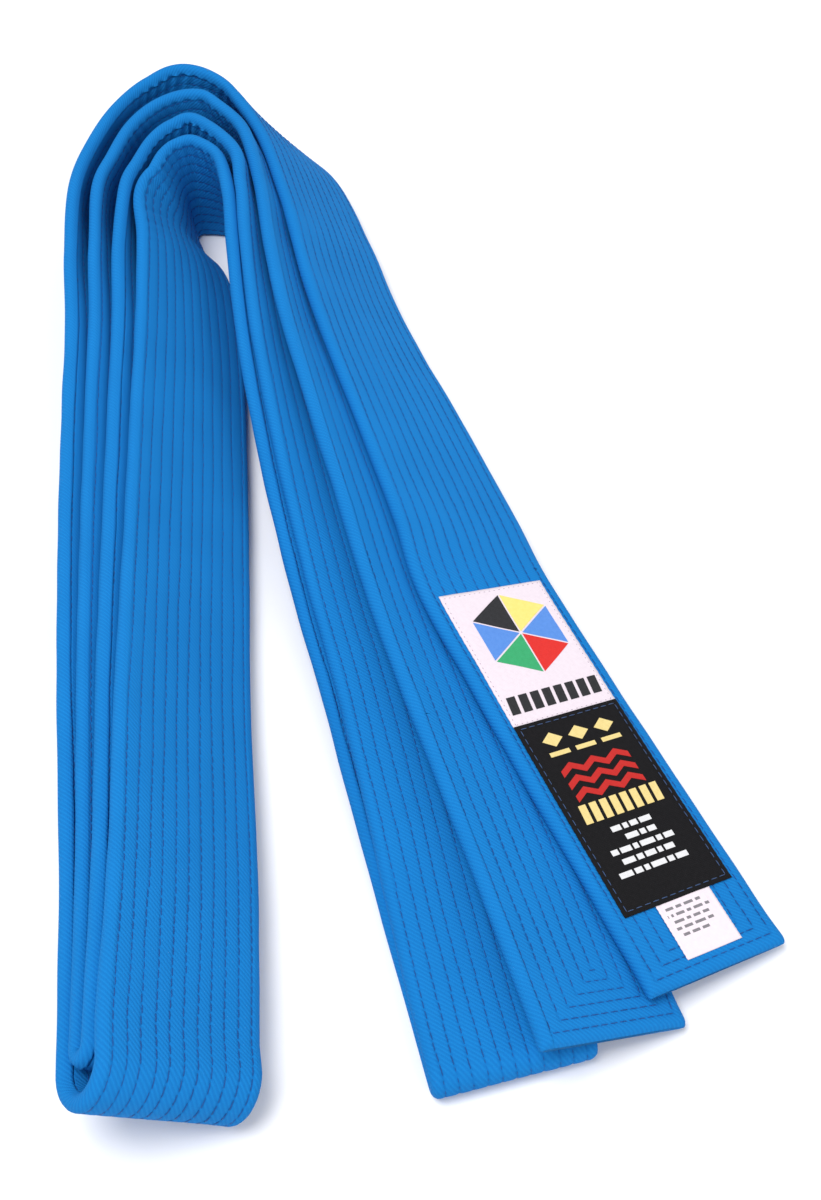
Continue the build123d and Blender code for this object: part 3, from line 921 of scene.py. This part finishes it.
def patch(name, kind, outlines, look, proud=0.1):
    """Raised embroidery: outlines in millimetres from the label's upper left corner."""
    span, width, middle, lift = kind
    mesh = bmesh.new()
    for outline in outlines:
        corners = [mesh.verts.new((x, y, 0)) for x, y in outline]
        mesh.faces.new(corners)
    # cut into small cells, so that it follows the label's unevenness
    for normal, reach in ((Vector((1, 0, 0)), 34), (Vector((0, 1, 0)), 60)):
        for place in np.arange(0.9, reach, 1.8):
            everything = mesh.verts[:] + mesh.edges[:] + mesh.faces[:]
            where = normal * float(place)
            bmesh.ops.bisect_plane(mesh, geom=everything, plane_co=where, plane_no=normal)
    bmesh.ops.triangulate(mesh, faces=mesh.faces[:])
    mesh.verts.index_update()
    flat = np.array([v.co[:2] for v in mesh.verts])
    faces = np.array([[v.index for v in f.verts] for f in mesh.faces])
    rims = [(e.verts[0].index, e.verts[1].index) for e in mesh.edges if len(e.link_faces) == 1]
    mesh.free()
    directed = {(f[i], f[(i + 1) % 3]) for f in faces.tolist() for i in range(3)}
    walls = []
    count = len(flat)
    for a, b in rims:
        if (a, b) not in directed:
            a, b = b, a
        walls.append((b, a, a + count, b + count))
    gone = span[1] - flat[:, 1]
    w = middle + width / 2 - flat[:, 0]
    height = label_height(kind, gone, w)
    top = on_surface(gone, w, 1, height + proud)
    low = on_surface(gone, w, 1, height - 0.05)
    made = new_mesh(name, np.concatenate([top, low]), walls,
                    np.concatenate([faces, faces[:, ::-1] + count]), look)
    made.data.shade_flat()
    cloth = np.stack([gone, w, np.zeros(count)], -1)
    point_attribute(made, "cloth", np.concatenate([cloth, cloth]))
    return made


def bar(x, y, width, height, slant=0.0):
    """A small slanted bar round a centre."""
    a, b = width / 2, height / 2
    return [(x - a + slant, y - b), (x + a + slant, y - b), (x + a - slant, y + b), (x - a - slant, y + b)]


def border_stitches(name, kind, inset, pitch, length, radius, look, proud=0.05):
    """A row of short stitches all round a label, just inside its edge."""
    span, width, middle, lift = kind
    near, far = span[0] + inset, span[1] - inset
    low, high = middle - width / 2 + inset, middle + width / 2 - inset
    places = []
    for w in (low, high):
        for g in np.arange(near, far - length, pitch):
            places.append((g, w, g + length, w + 0.06))
    for g in (near, far):
        for w in np.arange(low, high - length, pitch):
            places.append((g, w, g + 0.05, w + length))
    places = np.array(places)
    ends = []
    for g, w in ((places[:, 0], places[:, 1]), (places[:, 2], places[:, 3])):
        ends.append(on_surface(g, w, 1, label_height(kind, g, w) + proud))
    ups = frames_along(places[:, 0])[3]
    return stitch_mesh(name, ends[0], ends[1], ups, radius, look)


def hexagon_sectors(x, y, radius, gap):
    """Six sectors of a hexagon, drawn apart by a gap."""
    sectors = []
    for i in range(6):
        a, b = math.radians(60 * i - 90), math.radians(60 * i - 30)
        mid = (a + b) / 2
        cx, cy = x + gap * math.cos(mid), y + gap * math.sin(mid)
        sectors.append([
            (cx, cy),
            (cx + radius * math.cos(a), cy + radius * math.sin(a)),
            (cx + radius * math.cos(b), cy + radius * math.sin(b)),
        ])
    return sectors


on_end = []
approval = label_sheet("approval_label_satin", APPROVAL_KIND, 0.3, SATIN)
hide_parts("approval_label")
on_end.append(approval)
sectors = hexagon_sectors(17.2, 16.2, 13.0, 0.5)
for name, sector, colour in (
    ("black", [5], BLACK_SILK), ("yellow", [0], YELLOW), ("blue", [1, 4], BLUE),
    ("red", [2], RED), ("green", [3], GREEN),
):
    on_end.append(patch(f"approval_motif_{name}", APPROVAL_KIND, [sectors[i] for i in sector], colour))
bars = [bar(3.3 + 3.65 * i, 37.3, 2.6, 5.4, 0.35) for i in range(8)]
on_end.append(patch("approval_motif_bars", APPROVAL_KIND, bars, BLACK_SILK))
on_end.append(border_stitches("approval_label_stitches", APPROVAL_KIND, 0.9, 1.55, 0.55, 0.09,
                              PALE_THREAD, 0.0))

brand = label_sheet("brand_label_woven", BRAND_KIND, 0.32, BLACK_WEAVE)
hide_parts("brand_label")
on_end.append(brand)


def diamond(x, y, width, height):
    return [(x, y - height / 2), (x + width / 2, y), (x, y + height / 2), (x - width / 2, y)]


def chevron(x, y, width, rise, thick):
    a = width / 2
    return [(x - a, y + rise), (x, y), (x + a, y + rise), (x + a, y + rise + thick),
            (x, y + thick), (x - a, y + rise + thick)]


gold = []
for x in (8.2, 16.2, 24.2):
    gold += [diamond(x, 6.4, 6.2, 4.4), bar(x, 10.6, 6.0, 1.3)]
gold += [bar(5.3 + 3.1 * i, 28.9, 2.1, 5.4, 0.2) for i in range(8)]
on_end.append(patch("brand_motif_gold", BRAND_KIND, gold, GOLD))
red = []
for x in (8.9, 15.8, 22.7):
    for y in (13.8, 17.6, 21.4):
        red.append(chevron(x, y, 6.9, 2.0, 1.9))
on_end.append(patch("brand_motif_red", BRAND_KIND, red, DEEP_RED))
white = []
for y, x0, dashes in (
    (34.9, 9.4, (2.8, 1.4, 2.2, 3.4)), (37.9, 12.0, (3.6, 1.6, 2.4)),
    (40.9, 5.8, (2.0, 3.2, 1.4, 4.2, 1.6, 2.8)), (43.9, 7.4, (3.6, 1.8, 3.0, 1.4, 2.8)),
    (47.1, 4.6, (3.8, 2.2, 1.4, 4.2, 1.8, 3.4)),
):
    x = x0
    for dash in dashes:
        white.append(bar(x + dash / 2, y, dash, 1.5))
        x += dash + 0.7
on_end.append(patch("brand_motif_white", BRAND_KIND, white, WHITE, 0.09))
on_end.append(border_stitches("brand_label_stitches", BRAND_KIND, 1.2, 2.5, 1.9, 0.13, BORDER_THREAD, 0.1))
for made in on_end:
    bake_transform(made)

care = label_sheet("care_label_ribbon", CARE_KIND, 0.18, RIBBON, 0.6)
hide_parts("care_flap", "care_tab")
rows = []
for y, x0, dashes in (
    (9.3, 1.8, (2.2, 1.6, 2.6, 1.4)), (11.1, 1.4, (1.6, 2.4, 1.2, 2.6, 1.2)),
    (12.9, 2.2, (2.8, 1.2, 2.0, 1.8)), (14.7, 1.8, (1.4, 2.4, 3.0, 1.6)),
    (16.5, 2.6, (1.8, 2.2, 2.0)),
):
    x = x0
    for dash in dashes:
        rows.append(bar(x + dash / 2, y, dash, 0.75))
        x += dash + 0.8
ink = patch("care_label_print", CARE_KIND, rows, GREY_INK, 0.02)
hinge_frame = frames_along([CARE_HINGE])
for made in (care, ink):
    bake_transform(made)


# ---------------------------------------------------------- floor, light and camera
def floor():
    made, nodes, links, shader = material("pale_floor")
    where = nodes.new("ShaderNodeTexCoord").outputs["Object"]
    tone = noise(nodes, links, where, 3, 2)
    links.new(mixed(nodes, links, tone, (0.90, 0.90, 0.92), (0.93, 0.93, 0.945)), shader.inputs["Base Color"])
    shader.inputs["Roughness"].default_value = 0.8
    reach = 3000
    under = -0.15
    corners = ((-1, -1), (1, -1), (1, 1), (-1, 1))
    points = [(reach * x, reach * y, under) for x, y in corners]
    plane = new_mesh("floor", points, [(0, 1, 2, 3)], (), made)


def area_light(name, place, aim, size, power, colour=(1, 1, 1)):
    light = bpy.data.lights.new(name, "AREA")
    light.size = size
    light.energy = power
    light.color = colour
    made = bpy.data.objects.new(name, light)
    bpy.context.scene.collection.objects.link(made)
    made.location = place
    direction = Vector(aim) - Vector(place)
    made.rotation_euler = direction.to_track_quat("-Z", "Y").to_euler()


floor()
world = bpy.data.worlds.new("studio")
bpy.context.scene.world = world
world.use_nodes = True
world.node_tree.nodes["Background"].inputs["Color"].default_value = (0.97, 0.98, 1.0, 1)
world.node_tree.nodes["Background"].inputs["Strength"].default_value = 0.62
area_light("key", (-0.35, -0.2, 1.3), (0, 0, 0), 0.7, 14)
area_light("fill", (0.9, -0.9, 0.9), (0, 0, 0), 1.0, 5)

camera_data = bpy.data.cameras.new("camera")
camera_data.sensor_fit = "VERTICAL"
camera_data.sensor_height = 36
camera_data.sensor_width = 36
camera_data.lens = 46.8
camera = bpy.data.objects.new("camera", camera_data)
bpy.context.scene.collection.objects.link(camera)
camera.location = (0.00983, -0.30159, 0.353)
camera.rotation_euler = (math.radians(38), 0, 0)
bpy.context.scene.camera = camera
bpy.context.scene.view_settings.view_transform = "Standard"
